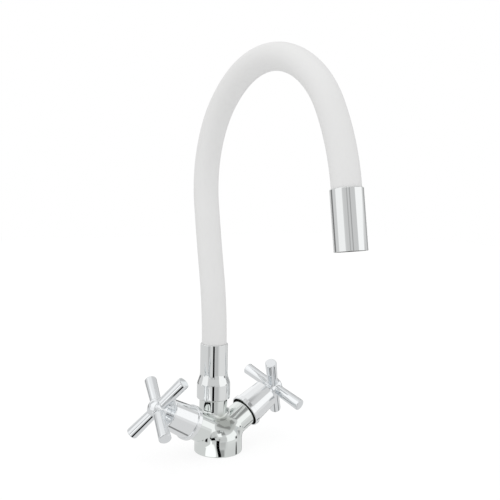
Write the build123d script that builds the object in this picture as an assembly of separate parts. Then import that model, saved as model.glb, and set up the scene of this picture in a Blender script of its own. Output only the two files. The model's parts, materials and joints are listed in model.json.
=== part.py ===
"""Two-handle mixer tap with a flexible gooseneck spout.

Millimetres. The origin is the centre of the base's underside, on the deck. +Z is up, the spout reaches
towards -Y, the hot valve is on the -X side and the cold valve on the +X side.
"""
from build123d import *
import math
import os

os.makedirs("parts", exist_ok=True)

# Fits
RUN = 0.05          # clearance of a piece that turns in or on another
SEAT = 0.05         # radial clearance of a piece seated in a bore
GAP = 0.3           # clearance between soft or curved pieces

# Body casting
BASE_R = 23.0
BASE_WALL = 12.5    # height of the upright wall
SHOULDER_R = 18.0   # first arc above the wall
SHOULDER_TURN = 45.0    # degrees that it turns inwards
CROWN_R = 12.0      # second arc, up to the shallow cap under the neck
CROWN_TURN = 80.0   # degrees from the wall to where it ends
BLEND_R = 1.5       # fillets between the base, the arms and the neck
BASE_EDGE = 0.8     # rounding of the lower edge

# Valve arms, which cross the body's axis and rise outwards
ARM_RISE = 29.0     # degrees above the deck
ARM_Z = 14.5        # height where the arms' axes cross the body's axis
ARM_R = 13.5
ARM_END = 42.0      # distance of the arm's end face along its axis
ARM_EDGE = 0.5
ARM_BORE_R = 9.3    # wall of the thread that takes the headwork
SEAT_S = 20.0       # distance of the valve seat along the arm
PORT_R = 3.25       # water way into the seat
OUTLET_R = 2.75     # water way from a valve to the spout
OUTLET_S = 7.0      # distance from the seat to where that way leaves the valve's chamber
OUTLET_BACK = 6.4   # how far behind the arm's axis it leaves
OUTLET_UP = 4.8     # how far above the arm's axis it leaves

# Neck under the spout
TOWER_Y = 9.0
NECK_R = 13.5
NECK_TOP = 48.8
TOWER_BORE_R = 9.0
TOWER_BORE_Z = 24.0
OUTLET_Z = 27.0     # height where the water ways meet the tower's bore

# Connections in the underside
INLET_X = 8.5
INLET_Y = 3.0
INLET_R = 4.5       # M10 x 1 thread, at its tapping size
INLET_DEPTH = 12.0
STUD_Y = -10.0
STUD_R = 3.4        # M8 thread, at its tapping size
STUD_DEPTH = 14.0
GASKET_INSET = 1.6  # from the base's edge to the gasket
GASKET_WIDTH = 2.2
GASKET_DEPTH = 2.0

# Headwork
SEAL_R = 8.2
SEAL_T = 2.6
DISC_R = 7.3
DISC_T = 3.5
DISC_HUB_R = 1.6    # solid middle of a disc
DISC_RIM = 1.3      # solid rim of a disc
DISC_SECTOR = 80.0  # degrees of each of a disc's two ports
SLOT_W = 3.0        # slot that drives the moving disc
SLOT_DEPTH = 1.2
CAGE_WALL = 1.05
DRIVE_L = 4.4       # chamber above the moving disc, with the side windows
WINDOW_W = 8.0
WINDOW_MARGIN = 0.4
SHOULDER_L = 3.0    # from the windows' chamber to the shoulder that holds the spindle's flange
BONNET_GASKET_R = 12.0
BONNET_GASKET_T = 1.0
HEX_AF = 22.0
HEX_H = 5.0
BARREL_R = 7.4
BARREL_L = 12.0
SPINDLE_R = 4.95
SPINDLE_FLANGE_R = 7.2
SPINDLE_FLANGE_T = 2.4
GROOVE_W = 1.8      # O-ring grooves
GROOVE_DEPTH = 1.2
SPINDLE_RING_STEP = 4.0
CIRCLIP_T = 1.0
CIRCLIP_R = 6.6
CIRCLIP_DEPTH = 0.7
CIRCLIP_GAP = 60.0  # degrees of the circlip's opening
SPINDLE_OUT = 3.0   # from the barrel's top to the splines
SPLINE_TEETH = 20
SPLINE_R = 4.0
SPLINE_DEPTH = 0.4
SPLINE_L = 13.0

# Handles
HANDLE_LIFT = 4.0   # from the splines' foot to the top of the skirt
CROSS_LIFT = 11.0   # from the top of the skirt to the middle of the rods
CROSS_R = 36.5      # centre to a rod's tip
ROD_HUB_R = 4.9
ROD_TIP_R = 5.7
ROD_EDGE = 0.8
HUB_R = 7.6
HUB_HALF = 6.2      # hub's half length along the axis
HUB_EDGE = 0.6
HANDLE_NECK_R = 6.6
HANDLE_SPIGOT_R = 5.8
HANDLE_SPIGOT_L = 2.6
HANDLE_WEB = 1.7    # wall between the splines and the screw's head
HOT_ANGLE = 55.4    # degrees from the front to the first rod
COLD_ANGLE = 23.9
SCREW_R = 2.45
SCREW_HEAD_R = 4.2
SCREW_HEAD_T = 3.0
SCREW_L = 13.0
SCREW_SLOT_W = 1.2
SCREW_SLOT_DEPTH = 1.2
CAP_STEM_R = 5.2
CAP_STEM_L = 2.4    # how far the cap's stem sits in the hub
CAP_R = 7.0         # domed head of the cap, on the hub's end
CAP_RISE = 2.8
SKIRT_L = 30.5
SKIRT_RIM_R = 16.8
SKIRT_RIM_L = 4.5
SKIRT_RIM_EDGE = 0.5
SKIRT_LOW_R = 15.6
SKIRT_HIGH_R = 13.9
SKIRT_WALL = 1.2
SKIRT_EDGE = 1.0

# Spout foot
SLIDE_R = 13.0
SLIDE_T = 1.0
RING_R = 16.1       # lower ring of the ferrule
RING_H = 14.6
TAPER_H = 11.6
TAPER_EDGE = 10.0   # rounding where the taper meets the collar
COLLAR_R = 13.3
COLLAR_H = 27.0
COLLAR_EDGE = 0.5
FERRULE_BORE_R = 9.3
FERRULE_STEP = 4.2  # thickness of the step that the spigot's flange rests on
FLANGE_R = 11.0
FLANGE_T = 8.0
SLEEVE_SEAT = 23.0  # depth of the sleeve in the collar
SPIGOT_FOOT = 4.0   # from the tower bore's floor to the spigot
SPIGOT_BORE_R = 5.5
SPIGOT_RING_LOW = 3.0   # from the spigot's foot to its first O-ring
SPIGOT_RING_STEP = 13.0
KEEPER_UP = 10.0    # from the spigot's foot to the groove for the grub screw
KEEPER_W = 5.4
KEEPER_DEPTH = 1.6
GRUB_R = 2.4
GRUB_SOCKET_R = 1.25
GRUB_SOCKET_DEPTH = 2.5
GRUB_SINK = 0.6     # how far the screw's end lies under the neck's surface
BARB_L = 22.0
BARB_BORE_R = 2.8

# Gooseneck: links of one length, each one arc, with its turn towards the front in degrees
LINK_L = 67.9
LINK_TURNS = (-10.0, 2.0, 30.0, 38.0, 49.0, 44.0, 19.0)
SLEEVE_R = 12.0
SLEEVE_WALL = 3.0
COIL_R = 8.7
COIL_WALL = 1.8
HOSE_R = 6.4
HOSE_WALL = 2.1
BALL_ANGLE = 13.0   # degrees, sets the ball that two links share
BALL_GAP = 0.3

# Head
HEAD_R = 13.25
HEAD_L = 48.3
HEAD_EDGE = 0.5
HEAD_SOCKET = 12.0  # depth of the collar that takes the sleeve
HEAD_WEB = 4.0
HEAD_WEB_R = 8.0    # bore of the web
HEAD_CHAMBER_R = 10.2
HEAD_THREAD_R = 12.0    # M24 x 1 thread of the aerator
INSERT_START = 1.0
INSERT_FLANGE_T = 2.5
WASHER_R = 9.2      # bore of the washer and of the aerator's lip
WASHER_T = 2.0
AERATOR_SINK = 1.2
AERATOR_L = 14.0
AERATOR_WALL = 1.6
AERATOR_LIP = 1.4
MESH_T = 0.4
MESH_STEP = 1.2
MESH_COUNT = 3
MESH_HOLE = 1.4
MESH_PITCH = 2.2
RIB_COUNT = 12
RIB_T = 1.0
RIB_HUB_R = 4.0
CARTRIDGE_FLOOR = 1.5


# Heights and distances that follow from the sizes above
SEAL_TOP = SEAT_S + SEAL_T
FIXED_TOP = SEAL_TOP + DISC_T
MOVING_TOP = FIXED_TOP + DISC_T
CAGE_R = DISC_R + RUN + CAGE_WALL
CAGE_TOP = MOVING_TOP + DRIVE_L
CAVITY_TOP = CAGE_TOP + SHOULDER_L
HEX_FOOT = ARM_END + BONNET_GASKET_T
HEX_TOP = HEX_FOOT + HEX_H
BARREL_TOP = HEX_TOP + BARREL_L
SPLINE_FOOT = BARREL_TOP + SPINDLE_OUT
SPLINE_TOP = SPLINE_FOOT + SPLINE_L
SKIRT_TOP = SPLINE_FOOT + HANDLE_LIFT
SKIRT_FOOT = SKIRT_TOP - SKIRT_L
CROSS_S = SKIRT_TOP + CROSS_LIFT
HUB_TOP = CROSS_S + HUB_HALF
SCREW_SEAT = SPLINE_TOP + GAP + HANDLE_WEB
FERRULE_FOOT = NECK_TOP + SLIDE_T
RING_TOP = FERRULE_FOOT + RING_H
COLLAR_FOOT = RING_TOP + TAPER_H
RIM_Z = COLLAR_FOOT + COLLAR_H
FLANGE_FOOT = FERRULE_FOOT + FERRULE_STEP
FLANGE_TOP = FLANGE_FOOT + FLANGE_T
SPIGOT_Z = TOWER_BORE_Z + SPIGOT_FOOT
SPIGOT_R = TOWER_BORE_R - RUN
KEEPER_Z = SPIGOT_Z + KEEPER_UP
BARB_R = HOSE_R - HOSE_WALL - SEAT
GASKET_R = BASE_R - GASKET_INSET
BALL_R = SLEEVE_R / math.cos(math.radians(BALL_ANGLE))
AERATOR_FOOT = HEAD_L - AERATOR_SINK
AERATOR_TOP = AERATOR_FOOT - AERATOR_L
AERATOR_R = HEAD_THREAD_R - SEAT
AERATOR_BORE_R = AERATOR_R - AERATOR_WALL
SIDES = {"hot": -1, "cold": 1}


def turned(*points):
    """Solid turned about Z from a closed outline of (radius, height) points."""
    return revolve(make_face(Plane.XZ * Polyline(*points, close=True)), Axis.Z)


def rod(radius, low, high):
    """Cylinder on Z between two heights."""
    return Pos(0, 0, low) * Cylinder(radius, high - low, align=(Align.CENTER, Align.CENTER, Align.MIN))


def tube(outer, inner, low, high):
    """Tube on Z between two heights."""
    return rod(outer, low, high) - rod(inner, low, high)


def block(length, width, low, high):
    """Box centred on Z between two heights."""
    return Pos(0, 0, low) * Box(length, width, high - low, align=(Align.CENTER, Align.CENTER, Align.MIN))


def between(start, end, radius):
    """Cylinder from one point to another."""
    along = end - start
    align = (Align.CENTER, Align.CENTER, Align.MIN)
    return Plane(start, z_dir=along) * Cylinder(radius, along.length, align=align)


def round_edges(solid, radius, height):
    """The solid's round edges of one radius at one height."""
    found = []
    for edge in solid.edges():
        if edge.geom_type == GeomType.CIRCLE and abs(edge.radius - radius) < 1e-4:
            if abs(edge.arc_center.Z - height) < 1e-4:
                found.append(edge)
    return found


def o_ring(shaft_radius, height):
    """Ring in a groove of the shaft, just clear of the bore around it."""
    section = GROOVE_DEPTH / 2
    return Pos(0, 0, height) * Torus(shaft_radius - GROOVE_DEPTH + section, section)


def o_ring_groove(shaft_radius, height):
    low = height - GROOVE_W / 2
    return tube(shaft_radius + GAP, shaft_radius - GROOVE_DEPTH, low, low + GROOVE_W)


def splined(radius, low, high):
    """Toothed shaft on Z."""
    points = []
    for tooth in range(SPLINE_TEETH):
        for share, reach in ((0.0, radius), (0.5, radius - SPLINE_DEPTH)):
            turn = math.radians(360.0 * (tooth + share) / SPLINE_TEETH)
            points.append((reach * math.cos(turn), reach * math.sin(turn)))
    return Pos(0, 0, low) * extrude(make_face(Polyline(*points, close=True)), high - low)


def valve_plane(side):
    """Frame of a valve: Z outwards along its axis, X towards the front."""
    rise = math.radians(ARM_RISE)
    return Plane((0, 0, ARM_Z), x_dir=(0, -1, 0), z_dir=(side * math.cos(rise), 0, math.sin(rise)))


def valve_point(side, along, back=0.0, up=0.0):
    """Point of a valve, given along its axis, behind it and above it."""
    plane = valve_plane(side)
    above = plane.y_dir * -side
    return plane.origin + plane.z_dir * along - plane.x_dir * back + above * up


TOWER = Pos(0, TOWER_Y, 0)


# Body

def slope_vector(turn):
    """Direction in an outline; 0 degrees is outwards and 90 is up."""
    return Vector(math.cos(math.radians(turn)), math.sin(math.radians(turn)))


def base_outline():
    """Half outline of the round base: wall, shoulder, crown and a shallow cap over the axis."""
    wall = Line((BASE_R, 0), (BASE_R, BASE_WALL))
    shoulder_end = wall @ 1 + (slope_vector(SHOULDER_TURN) - slope_vector(0)) * SHOULDER_R
    crown_end = shoulder_end + (slope_vector(CROWN_TURN) - slope_vector(SHOULDER_TURN)) * CROWN_R
    cap_r = crown_end.X / slope_vector(CROWN_TURN).X
    top = Vector(0, crown_end.Y + (1 - slope_vector(CROWN_TURN).Y) * cap_r)
    shoulder = RadiusArc(wall @ 1, shoulder_end, -SHOULDER_R)
    crown = RadiusArc(shoulder_end, crown_end, -CROWN_R)
    cap = RadiusArc(crown_end, top, -cap_r)
    return Curve([Line((0, 0), wall @ 0), wall, shoulder, crown, cap, Line(top, (0, 0))])


def body_casting():
    solid = revolve(make_face(Plane.XZ * base_outline()), Axis.Z)
    for side in SIDES.values():
        solid += valve_plane(side) * rod(ARM_R, 0, ARM_END)
    solid += TOWER * rod(NECK_R, BASE_WALL / 2, NECK_TOP)
    blends = [edge for edge in solid.edges() if edge.geom_type not in (GeomType.LINE, GeomType.CIRCLE)]
    solid = fillet(blends, BLEND_R)
    return fillet(round_edges(solid, BASE_R, 0), BASE_EDGE)


def body_cuts():
    """All that is bored, tapped or grooved in the casting."""
    cuts = [TOWER * rod(TOWER_BORE_R, TOWER_BORE_Z, NECK_TOP)]
    cuts.append(Pos(0, STUD_Y, 0) * rod(STUD_R, 0, STUD_DEPTH))
    cuts.append(tube(GASKET_R + SEAT, GASKET_R - GASKET_WIDTH - SEAT, 0, GASKET_DEPTH))
    tower_axis = Vector(0, TOWER_Y, KEEPER_Z)
    cuts.append(between(tower_axis, tower_axis + Vector(0, 2 * NECK_R, 0), GRUB_R))
    for side in SIDES.values():
        cuts.append(valve_plane(side) * rod(ARM_BORE_R, SEAT_S, ARM_END))
        cuts.append(Pos(side * INLET_X, INLET_Y, 0) * rod(INLET_R, 0, INLET_DEPTH))
        inlet_top = Vector(side * INLET_X, INLET_Y, INLET_DEPTH - PORT_R / 3)
        cuts.append(between(inlet_top, valve_point(side, SEAT_S), PORT_R))
        leaves = valve_point(side, SEAT_S + OUTLET_S, OUTLET_BACK, OUTLET_UP)
        cuts.append(between(leaves, Vector(0, TOWER_Y, OUTLET_Z), OUTLET_R))
    return cuts


def body():
    solid = body_casting()
    for cut in body_cuts():
        solid -= cut
    return solid


def base_gasket():
    return tube(GASKET_R, GASKET_R - GASKET_WIDTH, 0, GASKET_DEPTH)


# Headwork and handle, each on its valve's axis

def seat_seal():
    return tube(SEAL_R, PORT_R + GAP, SEAT_S, SEAL_TOP)


def disc(low, turn):
    """Ceramic disc with two ports, the first at an angle of turn."""
    ring = Circle(DISC_R - DISC_RIM) - Circle(DISC_HUB_R)
    reach = 2 * DISC_R
    half = math.radians(DISC_SECTOR / 2)
    corner = (reach * math.cos(half), reach * math.sin(half))
    wedge = make_face(Polyline((0, 0), corner, (corner[0], -corner[1]), close=True))
    ports = ring & (Rot(0, 0, turn) * wedge + Rot(0, 0, turn + 180) * wedge)
    return Pos(0, 0, low) * extrude(Circle(DISC_R) - ports, DISC_T)


def fixed_disc():
    return disc(SEAL_TOP, 90)


def moving_disc():
    return disc(FIXED_TOP, 0) - Rot(0, 0, 90) * block(2 * DISC_R, SLOT_W, MOVING_TOP - SLOT_DEPTH, MOVING_TOP)


def bonnet():
    solid = rod(CAGE_R, SEAL_TOP, CAGE_TOP) + rod(ARM_BORE_R - SEAT, CAGE_TOP, HEX_FOOT)
    hexagon = RegularPolygon(HEX_AF / 2, 6, major_radius=False)
    solid += Pos(0, 0, HEX_FOOT) * extrude(hexagon, HEX_H)
    solid += rod(BARREL_R, HEX_TOP, BARREL_TOP)
    solid -= rod(DISC_R + RUN, SEAL_TOP, CAVITY_TOP)
    solid -= rod(SPINDLE_R + RUN, CAVITY_TOP, BARREL_TOP)
    solid -= block(3 * CAGE_R, WINDOW_W, MOVING_TOP + WINDOW_MARGIN, CAGE_TOP - WINDOW_MARGIN)
    return solid


def bonnet_gasket():
    return tube(BONNET_GASKET_R, ARM_BORE_R, ARM_END, HEX_FOOT)


def spindle_rings():
    first = HEX_TOP - SPINDLE_RING_STEP / 2
    return [first, first + SPINDLE_RING_STEP]


def spindle():
    tang_w = SLOT_W - 2 * RUN
    flange_top = CAVITY_TOP - RUN
    solid = Rot(0, 0, 90) * block(2 * (DISC_R - DISC_RIM), tang_w, MOVING_TOP - SLOT_DEPTH + RUN, flange_top)
    solid += rod(SPINDLE_FLANGE_R, flange_top - SPINDLE_FLANGE_T, flange_top)
    solid += rod(SPINDLE_R, flange_top, SPLINE_FOOT)
    solid += splined(SPLINE_R, SPLINE_FOOT, SPLINE_TOP)
    solid -= rod(SCREW_R + SEAT, SCREW_SEAT - SCREW_L - GAP, SPLINE_TOP)
    for height in spindle_rings():
        solid -= o_ring_groove(SPINDLE_R, height)
    clip = BARREL_TOP + RUN
    solid -= tube(SPINDLE_R + GAP, SPINDLE_R - CIRCLIP_DEPTH, clip, clip + CIRCLIP_T + RUN)
    return solid


def spindle_o_rings():
    return Compound([o_ring(SPINDLE_R, height) for height in spindle_rings()])


def circlip():
    low = BARREL_TOP + RUN
    ring = Circle(CIRCLIP_R) - Circle(SPINDLE_R - CIRCLIP_DEPTH + SEAT)
    reach = 2 * CIRCLIP_R
    half = math.radians(CIRCLIP_GAP / 2)
    corner = (reach * math.cos(half), reach * math.sin(half))
    opening = make_face(Polyline((0, 0), corner, (corner[0], -corner[1]), close=True))
    return Pos(0, 0, low) * extrude(ring - opening, CIRCLIP_T)


def handle_cross(angle):
    solid = rod(HUB_R, CROSS_S - HUB_HALF, HUB_TOP)
    solid = fillet(round_edges(solid, HUB_R, HUB_TOP) + round_edges(solid, HUB_R, CROSS_S - HUB_HALF), HUB_EDGE)
    for quarter in range(4):
        turn = math.radians(angle + 90 * quarter)
        arm = Cone(ROD_HUB_R, ROD_TIP_R, CROSS_R, align=(Align.CENTER, Align.CENTER, Align.MIN))
        arm = fillet(round_edges(arm, ROD_TIP_R, CROSS_R), ROD_EDGE)
        solid += Plane((0, 0, CROSS_S), z_dir=(math.cos(turn), math.sin(turn), 0)) * arm
    solid += rod(HANDLE_NECK_R, SKIRT_TOP, CROSS_S)
    solid += rod(HANDLE_SPIGOT_R, SKIRT_TOP - HANDLE_SPIGOT_L, SKIRT_TOP)
    solid -= splined(SPLINE_R + SEAT, SKIRT_TOP - HANDLE_SPIGOT_L, SPLINE_TOP + GAP)
    solid -= rod(SCREW_R + GAP, SPLINE_TOP, SCREW_SEAT)
    solid -= rod(SCREW_HEAD_R + GAP, SCREW_SEAT, HUB_TOP)
    solid -= rod(CAP_STEM_R + SEAT, HUB_TOP - CAP_STEM_L, HUB_TOP)
    return solid


def handle_skirt():
    rim_top = SKIRT_FOOT + SKIRT_RIM_L
    hole_r = HANDLE_SPIGOT_R + SEAT
    solid = turned(
        (SKIRT_RIM_R - SKIRT_WALL, SKIRT_FOOT),
        (SKIRT_RIM_R, SKIRT_FOOT),
        (SKIRT_RIM_R, rim_top),
        (SKIRT_LOW_R, rim_top),
        (SKIRT_HIGH_R, SKIRT_TOP),
        (hole_r, SKIRT_TOP),
        (hole_r, SKIRT_TOP - SKIRT_WALL),
        (SKIRT_HIGH_R - SKIRT_WALL, SKIRT_TOP - SKIRT_WALL),
        (SKIRT_LOW_R - SKIRT_WALL, rim_top),
    )
    solid = fillet(round_edges(solid, SKIRT_HIGH_R, SKIRT_TOP), SKIRT_EDGE)
    rim = round_edges(solid, SKIRT_RIM_R, SKIRT_FOOT) + round_edges(solid, SKIRT_RIM_R, rim_top)
    return fillet(rim, SKIRT_RIM_EDGE)


def handle_screw():
    solid = rod(SCREW_HEAD_R, SCREW_SEAT, SCREW_SEAT + SCREW_HEAD_T)
    solid += rod(SCREW_R, SCREW_SEAT - SCREW_L, SCREW_SEAT)
    top = SCREW_SEAT + SCREW_HEAD_T
    for turn in (0, 90):
        solid -= Rot(0, 0, turn) * block(SCREW_HEAD_R, SCREW_SLOT_W, top - SCREW_SLOT_DEPTH, top)
    return solid


def handle_cap():
    """Domed head on the hub's end, with a stem in the hub's bore."""
    dome_r = (CAP_R ** 2 + CAP_RISE ** 2) / (2 * CAP_RISE)
    foot = Line((0, HUB_TOP), (CAP_R, HUB_TOP))
    dome = RadiusArc(foot @ 1, (0, HUB_TOP + CAP_RISE), -dome_r)
    head = revolve(make_face(Plane.XZ * Curve([foot, dome, Line(dome @ 1, foot @ 0)])), Axis.Z)
    return head + rod(CAP_STEM_R, HUB_TOP - CAP_STEM_L, HUB_TOP)


# Foot of the spout, on the tower's axis

def slide_ring():
    return tube(SLIDE_R, TOWER_BORE_R + GAP, NECK_TOP, FERRULE_FOOT)


def ferrule():
    socket_r = SLEEVE_R + SEAT
    solid = turned(
        (FERRULE_BORE_R, FERRULE_FOOT),
        (RING_R, FERRULE_FOOT),
        (RING_R, RING_TOP),
        (COLLAR_R, COLLAR_FOOT),
        (COLLAR_R, RIM_Z),
        (socket_r, RIM_Z),
        (socket_r, RIM_Z - SLEEVE_SEAT),
        (FLANGE_R + SEAT, RIM_Z - SLEEVE_SEAT),
        (FLANGE_R + SEAT, FLANGE_FOOT),
        (FERRULE_BORE_R, FLANGE_FOOT),
    )
    solid = fillet(round_edges(solid, COLLAR_R, COLLAR_FOOT), TAPER_EDGE)
    outer = round_edges(solid, COLLAR_R, RIM_Z) + round_edges(solid, RING_R, FERRULE_FOOT)
    return fillet(outer, COLLAR_EDGE)


def spigot_rings():
    first = SPIGOT_Z + SPIGOT_RING_LOW
    return [first, first + SPIGOT_RING_STEP]


def spigot():
    solid = rod(SPIGOT_R, SPIGOT_Z, FLANGE_FOOT) + rod(FLANGE_R, FLANGE_FOOT, FLANGE_TOP)
    solid += rod(BARB_R, FLANGE_TOP, FLANGE_TOP + BARB_L)
    solid -= rod(SPIGOT_BORE_R, SPIGOT_Z, FLANGE_FOOT)
    solid -= rod(BARB_BORE_R, FLANGE_FOOT, FLANGE_TOP + BARB_L)
    for height in spigot_rings():
        solid -= o_ring_groove(SPIGOT_R, height)
    low = KEEPER_Z - KEEPER_W / 2
    return solid - tube(SPIGOT_R + GAP, SPIGOT_R - KEEPER_DEPTH, low, low + KEEPER_W)


def spigot_o_rings():
    return Compound([o_ring(SPIGOT_R, height) for height in spigot_rings()])


def grub_screw():
    """Screw from the back of the neck into the spigot's groove."""
    end = NECK_R - GRUB_SINK
    solid = rod(GRUB_R - SEAT, SPIGOT_R - KEEPER_DEPTH + GAP, end)
    socket = RegularPolygon(GRUB_SOCKET_R, 6, major_radius=False)
    solid -= Pos(0, 0, end - GRUB_SOCKET_DEPTH) * extrude(socket, GRUB_SOCKET_DEPTH)
    return Plane((0, 0, KEEPER_Z), z_dir=(0, 1, 0)) * solid


# Gooseneck

def heading_vector(heading):
    """Direction of the hose's line; 0 degrees is up and 90 is level towards the front."""
    turn = math.radians(heading)
    return Vector(0, -math.sin(turn), math.cos(turn))


def arc_end(start, heading, turn):
    """End point of a link's arc."""
    radius = LINK_L / math.radians(turn)
    after = heading_vector(heading + turn + 90) - heading_vector(heading + 90)
    return start - after * radius


def gooseneck_line():
    """Start point and heading of each link, and of the head at the end."""
    stations = [(Vector(0, TOWER_Y, RIM_Z), 0.0)]
    for turn in LINK_TURNS:
        start, heading = stations[-1]
        stations.append((arc_end(start, heading, turn), heading + turn))
    return stations


STATIONS = gooseneck_line()
HEAD_PLANE = Plane(STATIONS[-1][0], x_dir=(1, 0, 0), z_dir=heading_vector(STATIONS[-1][1]))


def bent_tube(outer, inner, link, length):
    """Tube along the first stretch of a link's arc."""
    start, heading = STATIONS[link]
    turn = LINK_TURNS[link]
    bend_r = LINK_L / math.radians(turn)
    centre = start + heading_vector(heading + 90) * bend_r
    section = Plane(start, x_dir=(1, 0, 0), z_dir=heading_vector(heading)) * (Circle(outer) - Circle(inner))
    axis = Axis(centre, (math.copysign(1, turn), 0, 0))
    return revolve(section, axis, abs(turn) * length / LINK_L)


def link_tube(outer, inner, link, foot, tail):
    """One link of a layer: hollow ball seat at its start and ball at its end, where links meet.

    The first link has a straight foot in the ferrule and the last a straight tail in the head.
    """
    solid = bent_tube(outer, inner, link, LINK_L)
    start, end = STATIONS[link][0], STATIONS[link + 1][0]
    if link == 0:
        solid += TOWER * tube(outer, inner, foot, RIM_Z)
    else:
        solid -= Pos(start) * Sphere(BALL_R + BALL_GAP)
    if link == len(LINK_TURNS) - 1:
        solid += HEAD_PLANE * tube(outer, inner, 0, tail)
    else:
        solid += bent_tube(outer, inner, link + 1, 1.5 * BALL_R) & Pos(end) * Sphere(BALL_R)
    return solid


def sleeve(link):
    return link_tube(SLEEVE_R, SLEEVE_R - SLEEVE_WALL, link, RIM_Z - SLEEVE_SEAT, HEAD_SOCKET)


def coil(link):
    return link_tube(COIL_R, COIL_R - COIL_WALL, link, FLANGE_TOP, HEAD_SOCKET)


def inner_hose(link):
    return link_tube(HOSE_R, HOSE_R - HOSE_WALL, link, FLANGE_TOP, HEAD_SOCKET)


# Head, with Z along the head from its top

def nozzle_shell():
    web_end = HEAD_SOCKET + HEAD_WEB
    step = AERATOR_TOP - WASHER_T
    solid = rod(HEAD_R, 0, HEAD_L)
    solid = fillet(round_edges(solid, HEAD_R, 0) + round_edges(solid, HEAD_R, HEAD_L), HEAD_EDGE)
    solid -= rod(SLEEVE_R + SEAT, 0, HEAD_SOCKET)
    solid -= rod(HEAD_WEB_R, HEAD_SOCKET, web_end)
    solid -= rod(HEAD_CHAMBER_R, web_end, step)
    return solid - rod(HEAD_THREAD_R, step, HEAD_L)


def hose_insert():
    web_end = HEAD_SOCKET + HEAD_WEB
    solid = rod(BARB_R, INSERT_START, HEAD_SOCKET) + rod(HEAD_WEB_R - SEAT, HEAD_SOCKET, web_end)
    solid += rod(HEAD_CHAMBER_R - SEAT, web_end, web_end + INSERT_FLANGE_T)
    return solid - rod(BARB_BORE_R, INSERT_START, web_end + INSERT_FLANGE_T)


def aerator_washer():
    return tube(AERATOR_R, WASHER_R, AERATOR_TOP - WASHER_T, AERATOR_TOP)


def aerator_housing():
    solid = tube(AERATOR_R, AERATOR_BORE_R, AERATOR_TOP, AERATOR_FOOT)
    return solid + tube(AERATOR_R, WASHER_R, AERATOR_FOOT - AERATOR_LIP, AERATOR_FOOT)


def mesh_levels():
    """Heights of the meshes, stacked on the housing's lip."""
    lowest = AERATOR_FOOT - AERATOR_LIP - MESH_T
    return [lowest - MESH_STEP * level for level in range(MESH_COUNT)]


def aerator_meshes():
    reach = AERATOR_BORE_R - SEAT
    count = 2 * int(reach / MESH_PITCH) + 1
    sheet = Circle(reach)
    for spot in GridLocations(MESH_PITCH, MESH_PITCH, count, count):
        if spot.position.length + MESH_HOLE < reach:
            sheet -= spot * Rectangle(MESH_HOLE, MESH_HOLE)
    rim = Circle(reach) - Circle(reach - MESH_HOLE / 2)
    solids = []
    for level in mesh_levels():
        spacer = Pos(0, 0, level + MESH_T - MESH_STEP) * extrude(rim, MESH_STEP - MESH_T)
        solids.append(Pos(0, 0, level) * extrude(sheet, MESH_T) + spacer)
    return Compound(solids)


def aerator_cartridge():
    """Ribbed plastic drum that breaks up the stream, above the meshes."""
    foot = mesh_levels()[-1] - (MESH_STEP - MESH_T)
    reach = AERATOR_BORE_R - SEAT
    solid = tube(reach, reach - RIB_T, AERATOR_TOP, foot) + rod(RIB_HUB_R, AERATOR_TOP, foot)
    for rib in range(RIB_COUNT):
        turn = 360.0 * rib / RIB_COUNT
        solid += Rot(0, 0, turn) * (Pos(reach / 2, 0, 0) * block(reach - RIB_T, RIB_T, AERATOR_TOP, foot))
    return solid


# Assembly: each node's name and its solid in the part's frame

def valve_pieces(name, angle):
    pieces = {
        "seat_seal": seat_seal(),
        "fixed_disc": fixed_disc(),
        "moving_disc": moving_disc(),
        "bonnet": bonnet(),
        "bonnet_gasket": bonnet_gasket(),
        "spindle": spindle(),
        "spindle_o_rings": spindle_o_rings(),
        "circlip": circlip(),
        "handle_cross": handle_cross(angle),
        "handle_skirt": handle_skirt(),
        "handle_screw": handle_screw(),
        "handle_cap": handle_cap(),
    }
    plane = valve_plane(SIDES[name])
    return {f"{name}_{piece}": plane * solid for piece, solid in pieces.items()}


def spout_pieces():
    pieces = {
        "spout_slide_ring": TOWER * slide_ring(),
        "spout_ferrule": TOWER * ferrule(),
        "spout_spigot": TOWER * spigot(),
        "spigot_o_rings": TOWER * spigot_o_rings(),
        "spout_grub_screw": TOWER * grub_screw(),
    }
    for link in range(len(LINK_TURNS)):
        pieces[f"sleeve_{link + 1}"] = sleeve(link)
        pieces[f"coil_{link + 1}"] = coil(link)
        pieces[f"inner_hose_{link + 1}"] = inner_hose(link)
    return pieces


def head_pieces():
    pieces = {
        "nozzle_shell": nozzle_shell(),
        "hose_insert": hose_insert(),
        "aerator_washer": aerator_washer(),
        "aerator_housing": aerator_housing(),
        "aerator_meshes": aerator_meshes(),
        "aerator_cartridge": aerator_cartridge(),
    }
    return {name: HEAD_PLANE * solid for name, solid in pieces.items()}


def all_pieces():
    pieces = {"body": body(), "base_gasket": base_gasket()}
    pieces.update(valve_pieces("hot", HOT_ANGLE))
    pieces.update(valve_pieces("cold", COLD_ANGLE))
    pieces.update(spout_pieces())
    pieces.update(head_pieces())
    return pieces


def main():
    for name, solid in all_pieces().items():
        export_step(solid, f"parts/{name}.step")


if __name__ == "__main__":
    main()
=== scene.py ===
"""Looks of the mixer tap: polished chrome, a white silicone hose, and the pieces inside.

Lengths are in millimetres, as in the part's own source, and MM turns them into Blender's metres.
The origin is the centre of the base's underside. +Z is up, the spout reaches towards -Y and the hot
valve is on the -X side.
"""
import json
import math

import bpy
import numpy as np
from mathutils import Matrix, Vector


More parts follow.
